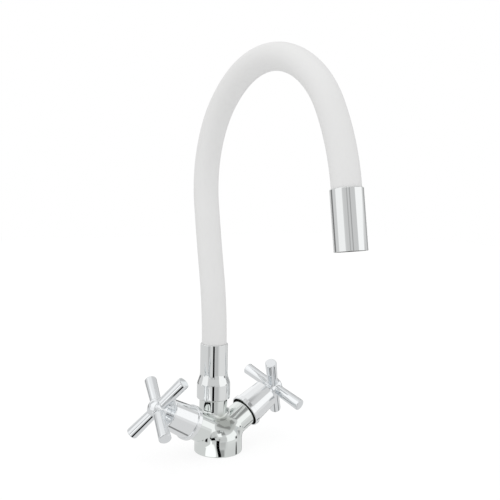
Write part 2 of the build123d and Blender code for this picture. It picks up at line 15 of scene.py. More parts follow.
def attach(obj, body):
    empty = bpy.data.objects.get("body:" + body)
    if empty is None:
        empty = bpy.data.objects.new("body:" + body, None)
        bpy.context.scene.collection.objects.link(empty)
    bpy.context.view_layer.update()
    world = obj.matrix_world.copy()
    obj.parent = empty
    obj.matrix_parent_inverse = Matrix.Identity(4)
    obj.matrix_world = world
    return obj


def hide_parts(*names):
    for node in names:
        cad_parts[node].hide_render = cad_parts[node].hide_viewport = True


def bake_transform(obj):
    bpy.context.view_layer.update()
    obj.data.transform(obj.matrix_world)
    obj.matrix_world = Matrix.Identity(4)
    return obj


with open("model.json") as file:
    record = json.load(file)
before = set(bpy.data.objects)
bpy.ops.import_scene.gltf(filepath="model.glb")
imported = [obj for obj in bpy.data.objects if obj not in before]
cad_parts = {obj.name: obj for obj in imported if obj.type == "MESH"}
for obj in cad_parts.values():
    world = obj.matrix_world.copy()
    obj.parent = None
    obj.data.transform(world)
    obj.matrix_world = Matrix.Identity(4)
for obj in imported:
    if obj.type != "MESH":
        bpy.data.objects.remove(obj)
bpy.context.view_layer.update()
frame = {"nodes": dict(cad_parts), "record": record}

MM = 0.001

# Fineness of the meshes
ARC_TURN = 9.0          # degrees of a rounding in one step, at most
ARC_LENGTH = 1.0        # and its length
LATHE_SEGMENTS = 128
CAP_SEGMENTS = 64
SLEEVE_SEGMENTS = 96
LINER_SEGMENTS = 32
SLEEVE_STEP = 2.0
COIL_STEPS = 4          # in one turn of the coil
WATER_HOSE_STEP = 4.0
BODY_VOXEL = 0.5
CROSS_VOXEL = 0.4
SKIN_ROUNDS = 8
SLOPE_STEP = 0.02
LEAST_STEEP = 0.25      # keeps a step short where a distance hardly changes
TINY = 1e-6
BORE_NORMAL = -0.5      # a turned face whose normal points further inwards than this is in the bore
END_NORMAL = 0.9        # and one that points further along the axis than this is the far end

# Edges and cuts of all pieces
INNER_EDGE = 0.2        # rounding of edges inside the turned pieces
MOUTH_EDGE = 0.4        # broken edge at the mouth of a bore
BEYOND = 20.0           # how far a cut runs past the surface
AXIS_R = 0.01           # where a turned outline meets its axis

# Body casting
BASE_R = 23.0
BASE_WALL = 13.1
WALL_BOW_R = 420.0      # the wall leans in a little towards its top
SHOULDER_R = 18.0
SHOULDER_TURN = 45.0
CROWN_R = 12.0
CROWN_TURN = 80.0
BLEND_R = 4.0
BASE_EDGE = 0.8
ARM_RISE = 29.0
ARM_Z = 14.5
ARM_R = 13.5
ARM_END = 42.0
CAST_EDGE = 0.5
ARM_BORE_R = 9.3
SEAT_S = 20.0
PORT_R = 3.25
PORT_DROP = PORT_R / 3              # how far below the inlet's end the port's axis starts
OUTLET_R = 2.75
OUTLET_START = (27.0, 6.4, 4.8)     # along the arm, behind and above its axis
OUTLET_Z = 27.0
TOWER_Y = 9.0
NECK_R = 13.5
NECK_TOP = 48.8
TOWER_BORE_R = 9.0
TOWER_BORE_Z = 24.0
INLET_X = 8.5
INLET_Y = 3.0
INLET_R = 4.5
INLET_DEPTH = 12.0
STUD_Y = -10.0
STUD_R = 3.4
STUD_DEPTH = 14.0
GROOVE_R = 20.3         # middle of the gasket's groove
GROOVE_HALF = 1.15
GROOVE_DEPTH = 2.0
GRUB_Z = 38.0
GRUB_R = 2.4
HOLLOW_AT = (0.0, -10.0, 29.0)      # centre of the shade painted into the hollow between the arms and the neck
PAINTED_SHADE_REACH = (6.0, 13.0)          # the painted shade is full up to the first and gone past the second

# Handles, along the valve's axis
SKIRT_FOOT = 36.5
SKIRT_TOP = 67.0
SKIRT_RIM_R = 16.8
SKIRT_RIM_L = 4.5
SKIRT_LOW_R = 15.6
SKIRT_HIGH_R = 13.9
SKIRT_WALL = 1.2
SKIRT_HOLE_R = 5.85
SKIRT_EDGE = 0.5
SKIRT_TOP_EDGE = 1.0
SKIRT_STEP_FILLET = 0.15
SKIRT_INNER_FILLET = 0.4
CROSS_S = 78.0
CROSS_R = 36.5
ROD_HUB_R = 4.9
ROD_TIP_R = 5.7
ROD_EDGE = 0.8
ROD_BLEND = 0.6
HUB_R = 7.6
HUB_HALF = 6.2
HUB_EDGE = 0.6
HANDLE_NECK_R = 6.6
HANDLE_SPIGOT_R = 5.8
HANDLE_SPIGOT_L = 2.6
SPLINE_R = 3.9
SPLINE_TOP = 76.3
SPLINE_OVERLAP = 1.0    # how far the screw's bore runs into the spline's
SCREW_R = 2.75
SCREW_SEAT = 78.0
SCREW_HEAD_R = 4.5
CAP_STEM_R = 5.2
CAP_STEM_L = 2.4
CAP_STEM_PLAY = 0.05
CAP_R = 7.0
CAP_RISE = 2.8
CAP_EDGE = 0.12
CAP_FILLET = 0.1
DOME_CHORDS = 16
ROD_ANGLES = {"hot": 55.4, "cold": 23.9}    # degrees from the front, about the valve's axis
SIDES = {"hot": -1, "cold": 1}              # which way each valve points along X

# Spout foot
FERRULE_FOOT = 49.8
RING_R = 16.1
RING_TOP = 64.4         # where the ring's side meets the taper
RING_EDGE = 6.0
COLLAR_R = 13.3
FLARE_TOP = 72.5        # where the taper meets the collar's side
TAPER_EDGE = 15.0
RIM_Z = 103.0
FERRULE_EDGE = 0.5
FERRULE_FOOT_EDGE = 0.3
FERRULE_BORE_R = 9.3
FLANGE_FOOT = 54.0
FLANGE_R = 11.05
SOCKET_R = 12.05
SOCKET_FOOT = 80.0

# Gooseneck: links of one length, each with its turn towards the front in degrees
LINK_L = 67.9
LINK_TURNS = (-10.0, 2.0, 30.0, 38.0, 49.0, 44.0, 19.0)
SLEEVE_R = 12.0
SLEEVE_BORE_R = 9.0
SLEEVE_FOOT = RIM_Z - SOCKET_FOOT       # depth of the sleeve in the ferrule
COIL_R = 8.35           # middle of the coil's waves
COIL_WAVE = 0.35
COIL_PITCH = 3.2
COIL_BORE_R = 6.9
WATER_HOSE_R = 6.4
WATER_HOSE_BORE_R = 4.3
LINER_FOOT = 37.0       # depth of the coil and the water hose

# Head, along its axis from its top
HEAD_R = 13.25
HEAD_L = 48.3
HEAD_EDGE = 0.5
HEAD_LIP = 0.2          # rounding at the mouth
HEAD_SOCKET = 12.0      # depth of all layers of the hose in the head
HEAD_WEB_END = 16.0
HEAD_WEB_R = 8.0
HEAD_CHAMBER_R = 10.2
HEAD_STEP = 31.1
HEAD_THREAD_R = 12.0


# Meshes

def mesh_piece(name, points, faces, normals):
    """Mesh object from points in millimetres, with its exact normals."""
    mesh = bpy.data.meshes.new(name)
    mesh.from_pydata((np.asarray(points) * MM).tolist(), [], faces)
    mesh.polygons.foreach_set("use_smooth", [True] * len(mesh.polygons))
    mesh.update()
    mesh.normals_split_custom_set_from_vertices(np.asarray(normals).tolist())
    piece = bpy.data.objects.new(name, mesh)
    bpy.context.scene.collection.objects.link(piece)
    return piece


def rounded_outline(corners):
    """Points and outward normals of a closed (radius, height) outline with rounded corners.

    A corner is (radius, height, rounding), and the solid lies to the left of the outline. A corner
    without rounding is one point, for chords of a curve.
    """
    spots = np.array([corner[:2] for corner in corners], float)
    points = []
    normals = []
    for i, (_, _, rounding) in enumerate(corners):
        into = spots[i] - spots[i - 1]
        out = spots[(i + 1) % len(spots)] - spots[i]
        into /= np.linalg.norm(into)
        out /= np.linalg.norm(out)
        turn = math.atan2(into[0] * out[1] - into[1] * out[0], into @ out)
        back = rounding * math.tan(abs(turn) / 2)
        start_normal = np.array((into[1], -into[0]))
        bulge = math.copysign(rounding, turn)
        centre = spots[i] - into * back - start_normal * bulge
        by_turn = math.ceil(math.degrees(abs(turn)) / ARC_TURN)
        by_length = math.ceil(rounding * abs(turn) / ARC_LENGTH)
        count = max(2, by_turn, by_length)
        shares = np.linspace(0.0, 1.0, count + 1) if rounding else (0.5,)
        for share in shares:
            angle = turn * share
            normal = np.array((
                start_normal[0] * math.cos(angle) - start_normal[1] * math.sin(angle),
                start_normal[0] * math.sin(angle) + start_normal[1] * math.cos(angle),
            ))
            points.append(centre + normal * bulge)
            normals.append(normal)
    return np.array(points), np.array(normals)


def closed_rings(rings, segments):
    """Faces of a closed loop of rings."""
    faces = []
    for ring in range(rings):
        after = (ring + 1) % rings
        for spot in range(segments):
            beside = (spot + 1) % segments
            faces.append((
                ring * segments + spot,
                ring * segments + beside,
                after * segments + beside,
                after * segments + spot,
            ))
    return faces


def lathe(name, place, corners, segments=LATHE_SEGMENTS, painted_shade_end=False):
    """Hollow turned piece. place turns its own axis, Z, into the frame.

    Its bore takes the piece's second material, near-black painted shade, and so does its far end when
    asked.
    """
    outline, slopes = rounded_outline(corners)
    turns = np.linspace(0.0, 2 * math.pi, segments, endpoint=False)
    round_x = np.cos(turns)
    round_y = np.sin(turns)
    points = []
    normals = []
    for (radius, height), (out, up) in zip(outline, slopes):
        level = np.full(segments, height)
        points.append(np.stack((radius * round_x, radius * round_y, level), 1))
        normals.append(np.stack((out * round_x, out * round_y, np.full(segments, up)), 1))
    points = np.concatenate(points)
    normals = np.concatenate(normals)
    turn = np.array(place.to_3x3())
    points = points @ turn.T + np.array(place.translation)
    piece = mesh_piece(name, points, closed_rings(len(outline), segments), normals @ turn.T)
    # painted shade: faces in the bore, and the far end when asked, take the near-black second material
    painted_shade_faces = slopes[:, 0] < BORE_NORMAL
    if painted_shade_end:
        painted_shade_faces |= slopes[:, 1] > END_NORMAL
    painted_shade_faces &= np.roll(painted_shade_faces, -1)
    piece.data.polygons.foreach_set("material_index", np.repeat(painted_shade_faces.astype(int), segments))
    return piece


# Distances to a shape's surface, negative inside, for arrays of points in millimetres

def capped_rod(reach, height, radius, low, high, edge=0.0):
    """Cylinder, from the distance to its axis and the height along it."""
    side = reach - radius + edge
    ends = np.abs(height - (low + high) / 2) - (high - low) / 2 + edge
    outside = np.hypot(np.maximum(side, 0), np.maximum(ends, 0))
    return outside + np.minimum(np.maximum(side, ends), 0) - edge


def joined(first, second, fillet):
    """Both shapes together, with a fillet where they meet."""
    corner = np.hypot(np.maximum(fillet - first, 0), np.maximum(fillet - second, 0))
    return np.maximum(fillet, np.minimum(first, second)) - corner


def shared(first, second, edge):
    """What both shapes hold, with a rounded edge."""
    corner = np.hypot(np.maximum(edge + first, 0), np.maximum(edge + second, 0))
    return np.minimum(-edge, np.maximum(first, second)) + corner


def bar(points, start, end, radius):
    """Round-ended bar between two points."""
    start = np.array(start, float)
    line = np.array(end, float) - start
    share = np.clip((points - start) @ line / (line @ line), 0, 1)
    return np.linalg.norm(points - start - share[:, None] * line, axis=1) - radius


def slope(distance, points):
    """Gradient of a distance."""
    parts = []
    for axis in range(3):
        shift = np.zeros(3)
        shift[axis] = SLOPE_STEP
        parts.append((distance(points + shift) - distance(points - shift)) / (2 * SLOPE_STEP))
    return np.stack(parts, 1)


def skin(name, node, distance, voxel):
    """Even mesh over a CAD node's surface, drawn onto the surface that the distance gives."""
    rough = bpy.data.objects.new(name + "_rough", frame["nodes"][node].data.copy())
    bpy.context.scene.collection.objects.link(rough)
    remesh = rough.modifiers.new("even", "REMESH")
    remesh.mode = "VOXEL"
    remesh.voxel_size = voxel * MM
    evaluated = rough.evaluated_get(bpy.context.evaluated_depsgraph_get())
    mesh = bpy.data.meshes.new_from_object(evaluated)
    bpy.data.objects.remove(rough)
    points = np.zeros(len(mesh.vertices) * 3)
    mesh.vertices.foreach_get("co", points)
    points = points.reshape(-1, 3) / MM
    faces = [tuple(face.vertices) for face in mesh.polygons]
    bpy.data.meshes.remove(mesh)
    for _ in range(SKIN_ROUNDS):
        gradient = slope(distance, points)
        steep = np.maximum((gradient ** 2).sum(1), LEAST_STEEP)
        step = np.clip(distance(points) / steep, -voxel, voxel)
        points = points - gradient * step[:, None]
    gradient = slope(distance, points)
    gradient /= np.maximum(np.linalg.norm(gradient, axis=1, keepdims=True), TINY)
    return mesh_piece(name, points, faces, gradient)


# Frames of the moving parts

SIDEWAYS = np.array((1.0, 0.0, 0.0))


def valve_axes(side):
    """Origin and directions of a valve: towards the front, across, and outwards along its axis."""
    rise = math.radians(ARM_RISE)
    front = np.array((0.0, -1.0, 0.0))
    out = np.array((side * math.cos(rise), 0.0, math.sin(rise)))
    return np.array((0.0, 0.0, ARM_Z)), front, np.cross(out, front), out


def valve_place(side):
    """Matrix that puts a piece made on Z onto a valve's axis."""
    origin, front, across, out = valve_axes(side)
    return Matrix.Translation(origin) @ Matrix(np.stack((front, across, out), 1).tolist()).to_4x4()


def heading_vector(heading):
    """Direction of the hose's line; 0 degrees is up and 90 is level towards the front."""
    turn = math.radians(heading)
    return np.array((0.0, -math.sin(turn), math.cos(turn)))


def bend_end(start, heading, turn, radius):
    """Point at the end of an arc of the hose's line."""
    after = heading_vector(heading + turn + 90) - heading_vector(heading + 90)
    return start - after * radius


def gooseneck_stations():
    """Start point and heading of each link, and of the head at the end."""
    stations = [(np.array((0.0, TOWER_Y, RIM_Z)), 0.0)]
    for turn in LINK_TURNS:
        start, heading = stations[-1]
        end = bend_end(start, heading, turn, LINK_L / math.radians(turn))
        stations.append((end, heading + turn))
    return stations


STATIONS = gooseneck_stations()
HOSE_L = LINK_L * len(LINK_TURNS)


def hose_spot(distance):
    """Point and heading of the hose's line at a distance from the ferrule's rim."""
    if distance <= 0:
        start, heading = STATIONS[0]
        return start + heading_vector(heading) * distance, heading
    if distance >= HOSE_L:
        start, heading = STATIONS[-1]
        return start + heading_vector(heading) * (distance - HOSE_L), heading
    link = min(int(distance / LINK_L), len(LINK_TURNS) - 1)
    start, heading = STATIONS[link]
    turn = LINK_TURNS[link] * (distance / LINK_L - link)
    radius = LINK_L / math.radians(LINK_TURNS[link])
    return bend_end(start, heading, turn, radius), heading + turn


def head_place():
    """Matrix that puts a piece made on Z onto the head's axis."""
    start, heading = STATIONS[-1]
    along = heading_vector(heading)
    axes = np.stack((SIDEWAYS, np.cross(along, SIDEWAYS), along), 1)
    return Matrix.Translation(start) @ Matrix(axes.tolist()).to_4x4()


# Shader nodes

def math_node(tree, operation, first, second=0.0):
    """Result of a sum on values or sockets."""
    node = tree.nodes.new("ShaderNodeMath")
    node.operation = operation
    for socket, value in zip(node.inputs, (first, second)):
        if isinstance(value, (int, float)):
            socket.default_value = value
        else:
            tree.links.new(value, socket)
    return node.outputs[0]


def vector_node(tree, operation, vector, fixed):
    """Value of a sum on a vector's socket and a fixed vector."""
    node = tree.nodes.new("ShaderNodeVectorMath")
    node.operation = operation
    node.inputs[1].default_value = fixed
    tree.links.new(vector, node.inputs[0])
    return node.outputs["Value"]


def smooth_step(tree, value, low, high):
    """0 below one limit and 1 above the other, with a smooth change between them."""
    node = tree.nodes.new("ShaderNodeMapRange")
    node.interpolation_type = "SMOOTHSTEP"
    node.inputs["From Min"].default_value = low
    node.inputs["From Max"].default_value = high
    tree.links.new(value, node.inputs["Value"])
    return node.outputs["Result"]


def mix_color(tree, factor, first, second):
    """Colour between two. Each of them is a colour, a grey level or a socket."""
    node = tree.nodes.new("ShaderNodeMix")
    node.data_type = "RGBA"
    tree.links.new(factor, node.inputs["Factor"])
    for name, value in (("A", first), ("B", second)):
        if isinstance(value, (int, float)):
            value = (value, value, value)
        if isinstance(value, tuple):
            node.inputs[name].default_value = (*value, 1.0)
        else:
            tree.links.new(value, node.inputs[name])
    return node.outputs["Result"]


# Materials

NOISE_SPAN = (0.3, 0.7)     # where most of a noise's values lie
HAZE_SWING = 0.3            # how far the haze of plating varies, as a share of it
SILICONE_IOR = 1.41


def new_material(name, color, roughness, metallic=0.0):
    """A material, its node tree and its main shader."""
    material = bpy.data.materials.new(name)
    material.use_nodes = True
    tree = material.node_tree
    shader = tree.nodes["Principled BSDF"]
    shader.inputs["Base Color"].default_value = (*color, 1.0)
    shader.inputs["Roughness"].default_value = roughness
    shader.inputs["Metallic"].default_value = metallic
    return material, tree, shader


def noise(tree, scale, detail=2.0, stretch=(1.0, 1.0, 1.0)):
    """Noise in the part's own coordinates. The scale is per metre."""
    place = tree.nodes.new("ShaderNodeTexCoord")
    mapping = tree.nodes.new("ShaderNodeMapping")
    mapping.inputs["Scale"].default_value = stretch
    texture = tree.nodes.new("ShaderNodeTexNoise")
    texture.inputs["Scale"].default_value = scale
    texture.inputs["Detail"].default_value = detail
    tree.links.new(place.outputs["Object"], mapping.inputs["Vector"])
    tree.links.new(mapping.outputs["Vector"], texture.inputs["Vector"])
    return texture.outputs["Fac"]


def spread(tree, value, low, high):
    """A noise drawn out between two limits."""
    span = tree.nodes.new("ShaderNodeMapRange")
    span.inputs["From Min"].default_value = NOISE_SPAN[0]
    span.inputs["From Max"].default_value = NOISE_SPAN[1]
    span.inputs["To Min"].default_value = low
    span.inputs["To Max"].default_value = high
    tree.links.new(value, span.inputs["Value"])
    return span.outputs["Result"]


def bump(tree, shader, height, strength, depth):
    """Relief of a depth in millimetres."""
    relief = tree.nodes.new("ShaderNodeBump")
    relief.inputs["Strength"].default_value = strength
    relief.inputs["Distance"].default_value = depth * MM
    tree.links.new(height, relief.inputs["Height"])
    tree.links.new(relief.outputs["Normal"], shader.inputs["Normal"])


def mottle(tree, shader, pattern, first, second, roughness):
    """Colour between two, and roughness between its limits, that follow a pattern."""
    tree.links.new(mix_color(tree, pattern, first, second), shader.inputs["Base Color"])
    tree.links.new(spread(tree, pattern, *roughness), shader.inputs["Roughness"])


def chrome(name, color, haze):
    """Polished plating: a faint haze and the slow waves of a buffed surface."""
    material, tree, shader = new_material(name, color, haze, metallic=1.0)
    clouds = noise(tree, scale=90.0, detail=4.0)
    patches = spread(tree, clouds, (1 - HAZE_SWING) * haze, (1 + HAZE_SWING) * haze)
    tree.links.new(patches, shader.inputs["Roughness"])
    bump(tree, shader, noise(tree, scale=140.0, detail=1.0), strength=0.1, depth=0.03)
    return material


def cast_chrome(color, painted_shade_color, haze):
    """Plating on the casting, with shade painted as a darker colour into its hollow between the arms and
    the neck.
    """
    material = chrome("cast_chrome", color, haze)
    tree = material.node_tree
    place = tree.nodes.new("ShaderNodeTexCoord").outputs["Object"]
    apart = vector_node(tree, "DISTANCE", place, [size * MM for size in HOLLOW_AT])
    near, far = PAINTED_SHADE_REACH
    # painted shade: the colour darkens towards the hollow between the arms and the neck
    plating_with_painted_shade = mix_color(tree, smooth_step(tree, apart, near * MM, far * MM), painted_shade_color, color)
    tree.links.new(plating_with_painted_shade, tree.nodes["Principled BSDF"].inputs["Base Color"])
    return material


def painted_shade_metal():
    """Near-black painted shade for the inside of a chromed piece, with faint stains."""
    material, tree, shader = new_material("painted_shade_metal", (0.05, 0.047, 0.043), 0.5, metallic=0.8)
    stain = noise(tree, scale=400.0, detail=4.0)
    mottle(tree, shader, stain, (0.035, 0.033, 0.03), (0.07, 0.065, 0.055), (0.4, 0.6))
    return material


def brass():
    """Turned brass with stains."""
    material, tree, shader = new_material("brass", (0.72, 0.55, 0.28), 0.25, metallic=1.0)
    stain = noise(tree, scale=160.0, detail=4.0)
    mottle(tree, shader, stain, (0.66, 0.47, 0.2), (0.76, 0.6, 0.33), (0.2, 0.34))
    bump(tree, shader, noise(tree, scale=3000.0), strength=0.15, depth=0.02)
    return material


def steel():
    """Steel with a fine grain along Z."""
    material, tree, shader = new_material("steel", (0.62, 0.63, 0.65), 0.28, metallic=1.0)
    grain = noise(tree, scale=2500.0, stretch=(1.0, 1.0, 0.15))
    tree.links.new(spread(tree, grain, 0.22, 0.36), shader.inputs["Roughness"])
    bump(tree, shader, grain, strength=0.15, depth=0.02)
    return material


def mesh_steel():
    """Steel wire mesh."""
    material, tree, shader = new_material("mesh_steel", (0.5, 0.5, 0.5), 0.35, metallic=1.0)
    wires = tree.nodes.new("ShaderNodeTexVoronoi")
    wires.inputs["Scale"].default_value = 2200.0
    tree.links.new(spread(tree, noise(tree, scale=1800.0), 0.28, 0.45), shader.inputs["Roughness"])
    bump(tree, shader, wires.outputs["Distance"], strength=0.3, depth=0.1)
    return material


def white_silicone():
    """Matt silicone, its colour slightly cloudy and its roughness in smaller patches."""
    material, tree, shader = new_material("white_silicone", (0.8, 0.8, 0.797), 0.5)
    shader.inputs["IOR"].default_value = SILICONE_IOR
    cloud = noise(tree, scale=35.0, detail=4.0)
    white = mix_color(tree, cloud, (0.79, 0.79, 0.785), (0.81, 0.81, 0.808))
    tree.links.new(white, shader.inputs["Base Color"])
    patches = noise(tree, scale=220.0, detail=4.0)
    tree.links.new(spread(tree, patches, 0.46, 0.58), shader.inputs["Roughness"])
    bump(tree, shader, noise(tree, scale=2600.0), strength=0.1, depth=0.03)
    return material


def black_rubber():
    """Dusty rubber of seals and gaskets."""
    material, tree, shader = new_material("black_rubber", (0.02, 0.02, 0.02), 0.7)
    dust = noise(tree, scale=400.0, detail=4.0)
    mottle(tree, shader, dust, (0.015, 0.015, 0.015), (0.035, 0.034, 0.033), (0.6, 0.8))
    bump(tree, shader, noise(tree, scale=4000.0), strength=0.2, depth=0.03)
    return material


def hose_rubber():
    """Dark grey rubber of the water hose."""
    material, tree, shader = new_material("hose_rubber", (0.08, 0.08, 0.08), 0.6)
    dust = noise(tree, scale=300.0, detail=4.0)
    mottle(tree, shader, dust, (0.06, 0.06, 0.06), (0.1, 0.1, 0.1), (0.5, 0.7))
    bump(tree, shader, noise(tree, scale=3000.0), strength=0.2, depth=0.03)
    return material


def ceramic():
    """Smooth, near-white ceramic."""
    material, tree, shader = new_material("ceramic", (0.9, 0.89, 0.87), 0.15)
    cloud = noise(tree, scale=700.0, detail=3.0)
    mottle(tree, shader, cloud, (0.87, 0.86, 0.83), (0.92, 0.91, 0.89), (0.1, 0.22))
    return material


def nylon():
    """Off-white nylon."""
    material, tree, shader = new_material("nylon", (0.86, 0.85, 0.8), 0.5)
    cloud = noise(tree, scale=300.0, detail=3.0)
    mottle(tree, shader, cloud, (0.83, 0.82, 0.76), (0.88, 0.87, 0.82), (0.42, 0.58))
    return material


def black_plastic():
    """Black plastic with a fine grain."""
    material, tree, shader = new_material("black_plastic", (0.02, 0.02, 0.02), 0.45)
    grain = noise(tree, scale=1500.0, detail=3.0)
    mottle(tree, shader, grain, (0.015, 0.015, 0.015), (0.028, 0.028, 0.028), (0.38, 0.52))
    bump(tree, shader, grain, strength=0.2, depth=0.03)
    return material


MATERIALS = {
    "chrome": chrome("chrome", (0.85, 0.865, 0.865), 0.04),
    # the casting's second colour is the shade painted into its hollow
    "cast_chrome": cast_chrome((0.82, 0.85, 0.835), (0.53, 0.555, 0.525), 0.04),
    "handle_chrome": chrome("handle_chrome", (0.85, 0.87, 0.885), 0.05),
    "skirt_chrome": chrome("skirt_chrome", (0.88, 0.895, 0.905), 0.08),
    # near-black painted shade for the bores and the nozzle's end
    "painted_shade_metal": painted_shade_metal(),
    "brass": brass(),
    "steel": steel(),
    "mesh_steel": mesh_steel(),
    "white_silicone": white_silicone(),
    "black_rubber": black_rubber(),
    "hose_rubber": hose_rubber(),
    "ceramic": ceramic(),
    "nylon": nylon(),
    "black_plastic": black_plastic(),
}


def finish_piece(piece, slot, material=None, bore=None):
    """Gives a new piece its materials, the slot's own unless others are named."""
    piece.data.materials.append(MATERIALS[material or slot])
    if bore:
        piece.data.materials.append(MATERIALS[bore])


def dress_nodes():
    """Gives each CAD node the material of its slot."""
    for entry in frame["record"]["subparts"]:
        node = frame["nodes"][entry["node"]]
        for place in node.material_slots:
            place.material = MATERIALS[entry["material_slot"]]


# Body

def valve_spot(side, along, back=0.0, up=0.0):
    """Point of a valve, given along its axis, behind it and above it."""
    origin, front, across, out = valve_axes(side)
    return origin + out * along - front * back - across * side * up


def slope_vector(turn):
    """Direction in an outline; 0 degrees is outwards and 90 is up."""
    return np.array((math.cos(math.radians(turn)), math.sin(math.radians(turn))))


def base_distance(reach, height):
    """Distance to the round base: a wall, a shoulder, a crown and a shallow cap over the axis."""
    wall = np.array((BASE_R - WALL_BOW_R, 0.0))
    wall_turn = math.degrees(math.asin(BASE_WALL / WALL_BOW_R))
    shoulder = wall + slope_vector(wall_turn) * (WALL_BOW_R - SHOULDER_R)
    crown = shoulder + slope_vector(SHOULDER_TURN) * (SHOULDER_R - CROWN_R)
    cap_r = CROWN_R + crown[0] / slope_vector(CROWN_TURN)[0]
    cap = crown - slope_vector(CROWN_TURN) * (cap_r - CROWN_R)
    distance = np.hypot(reach - wall[0], height - wall[1]) - WALL_BOW_R
    arcs = ((shoulder, SHOULDER_R, wall_turn), (crown, CROWN_R, SHOULDER_TURN), (cap, cap_r, CROWN_TURN))
    for (out, up), radius, start in arcs:
        turn = np.degrees(np.arctan2(height - up, reach - out))
        on_arc = (turn > start) & (height > shoulder[1])
        distance = np.where(on_arc, np.hypot(reach - out, height - up) - radius, distance)
    return distance


def body_distance(points):
    """Distance to the casting: the base, both arms and the neck, without the bores."""
    x, y, z = points.T
    axis_reach = np.hypot(x, y)
    tower_reach = np.hypot(x, y - TOWER_Y)
    solid = base_distance(axis_reach, z)
    bores = []
    for side in SIDES.values():
        origin, _, _, out = valve_axes(side)
        along = (points - origin) @ out
        reach = np.linalg.norm(points - origin - along[:, None] * out, axis=1)
        solid = joined(solid, capped_rod(reach, along, ARM_R, 0, ARM_END, CAST_EDGE), BLEND_R)
        bores.append(capped_rod(reach, along, ARM_BORE_R, SEAT_S, ARM_END + BEYOND))
        inlet_reach = np.hypot(x - side * INLET_X, y - INLET_Y)
        bores.append(capped_rod(inlet_reach, z, INLET_R, -BEYOND, INLET_DEPTH))
        inlet_top = (side * INLET_X, INLET_Y, INLET_DEPTH - PORT_DROP)
        bores.append(bar(points, inlet_top, valve_spot(side, SEAT_S), PORT_R))
        bores.append(bar(points, valve_spot(side, *OUTLET_START), (0, TOWER_Y, OUTLET_Z), OUTLET_R))
    neck = capped_rod(tower_reach, z, NECK_R, BASE_WALL / 2, NECK_TOP, CAST_EDGE)
    solid = joined(solid, neck, BLEND_R)
    solid = shared(solid, -z, BASE_EDGE)
    bores.append(capped_rod(tower_reach, z, TOWER_BORE_R, TOWER_BORE_Z, NECK_TOP + BEYOND))
    bores.append(capped_rod(np.hypot(x, y - STUD_Y), z, STUD_R, -BEYOND, STUD_DEPTH))
    bores.append(capped_rod(np.abs(axis_reach - GROOVE_R), z, GROOVE_HALF, -BEYOND, GROOVE_DEPTH))
    bores.append(capped_rod(np.hypot(x, z - GRUB_Z), y, GRUB_R, TOWER_Y, TOWER_Y + NECK_R + BEYOND))
    for bore in bores:
        solid = shared(solid, -bore, MOUTH_EDGE)
    return solid


def make_body():
    """The casting, drawn onto its softer fillets."""
    piece = skin("body_casting", "body", body_distance, BODY_VOXEL)
    finish_piece(piece, "chrome", "cast_chrome")
    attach(piece, "tap_body")
    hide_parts("body")


# Handles

def cross_distance(side, angle):
    """Distance to a handle's cross, with its four rods, hub and neck."""
    origin, front, across, out = valve_axes(side)

    def distance(points):
        local = points - origin
        u, v, height = local @ front, local @ across, local @ out
        reach = np.hypot(u, v)
        hub = capped_rod(reach, height, HUB_R, CROSS_S - HUB_HALF, CROSS_S + HUB_HALF, HUB_EDGE)
        neck = capped_rod(reach, height, HANDLE_NECK_R, SKIRT_TOP, CROSS_S, ROD_BLEND / 2)
        spigot_foot = SKIRT_TOP - HANDLE_SPIGOT_L
        spigot = capped_rod(reach, height, HANDLE_SPIGOT_R, spigot_foot, CROSS_S, ROD_BLEND / 2)
        solid = np.minimum(joined(hub, neck, ROD_BLEND), spigot)
        for quarter in range(4):
            turn = math.radians(angle + 90 * quarter)
            along = u * math.cos(turn) + v * math.sin(turn)
            aside = v * math.cos(turn) - u * math.sin(turn)
            radius = ROD_HUB_R + (ROD_TIP_R - ROD_HUB_R) * along / CROSS_R
            side_face = np.hypot(aside, height - CROSS_S) - radius
            rod = np.maximum(shared(side_face, along - CROSS_R, ROD_EDGE), -along)
            solid = joined(solid, rod, ROD_BLEND)
        top = CROSS_S + HUB_HALF
        bores = (
            (SPLINE_R, SKIRT_TOP - BEYOND, SPLINE_TOP),
            (SCREW_R, SPLINE_TOP - SPLINE_OVERLAP, SCREW_SEAT),
            (SCREW_HEAD_R, SCREW_SEAT, top),
            (CAP_STEM_R + CAP_STEM_PLAY, top - CAP_STEM_L, top + BEYOND),
        )
        for radius, low, high in bores:
            solid = shared(solid, -capped_rod(reach, height, radius, low, high), MOUTH_EDGE / 2)
        return solid

    return distance


def skirt_corners():
    """Outline of a skirt, a thin cone with a raised rim at its foot."""
    rim_top = SKIRT_FOOT + SKIRT_RIM_L
    inner_top = SKIRT_TOP - SKIRT_WALL
    return (
        (SKIRT_RIM_R - SKIRT_WALL, SKIRT_FOOT, INNER_EDGE),
        (SKIRT_RIM_R, SKIRT_FOOT, SKIRT_EDGE),
        (SKIRT_RIM_R, rim_top, SKIRT_EDGE),
        (SKIRT_LOW_R, rim_top, SKIRT_STEP_FILLET),
        (SKIRT_HIGH_R, SKIRT_TOP, SKIRT_TOP_EDGE),
        (SKIRT_HOLE_R, SKIRT_TOP, INNER_EDGE),
        (SKIRT_HOLE_R, inner_top, INNER_EDGE),
        (SKIRT_HIGH_R - SKIRT_WALL, inner_top, SKIRT_INNER_FILLET),
        (SKIRT_LOW_R - SKIRT_WALL, rim_top, SKIRT_INNER_FILLET),
    )


def cap_corners():
    """Outline of a cap: a stem, and a domed head drawn by short chords up to the axis."""
    foot = CROSS_S + HUB_HALF
    dome_r = (CAP_R ** 2 + CAP_RISE ** 2) / (2 * CAP_RISE)
    half = math.asin(CAP_R / dome_r)
    corners = [
        (AXIS_R, foot - CAP_STEM_L, 0.0),
        (CAP_STEM_R, foot - CAP_STEM_L, INNER_EDGE),
        (CAP_STEM_R, foot, CAP_FILLET),
        (CAP_R, foot, CAP_EDGE),
    ]
    for chord in range(1, DOME_CHORDS + 1):
        angle = half * (1 - chord / DOME_CHORDS)
        radius = max(dome_r * math.sin(angle), AXIS_R)
        corners.append((radius, foot + CAP_RISE - dome_r * (1 - math.cos(angle)), 0.0))
    return corners


